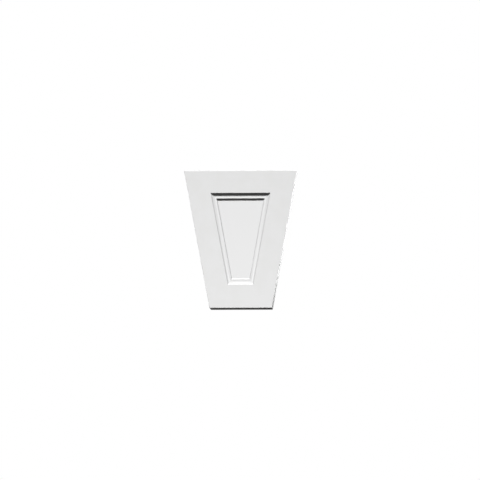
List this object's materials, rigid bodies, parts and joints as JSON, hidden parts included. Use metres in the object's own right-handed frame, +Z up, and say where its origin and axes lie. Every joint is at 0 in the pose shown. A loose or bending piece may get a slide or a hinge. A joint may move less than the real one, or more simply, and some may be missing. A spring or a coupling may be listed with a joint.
{
  "type": "door surround keystone",
  "caption": "White primed keystone for the head of a door surround: a block tapering to its foot, with a sunk panel framed by two mitred hollows and a narrow strip between them.",
  "frame": {"origin": "middle of the flat underside, where the keystone stands", "axes": "+Z up, +Y towards the wall behind the flat back, the panelled face looks along -Y, +X to the right of the face"},
  "size_m": [0.148, 0.045, 0.18],
  "materials": {
    "primed_casting": "white primed rigid polyurethane, matt, fine spray texture"
  },
  "bodies": {
    "root": {"keystone": "primed_casting"}
  },
  "joints": []
}
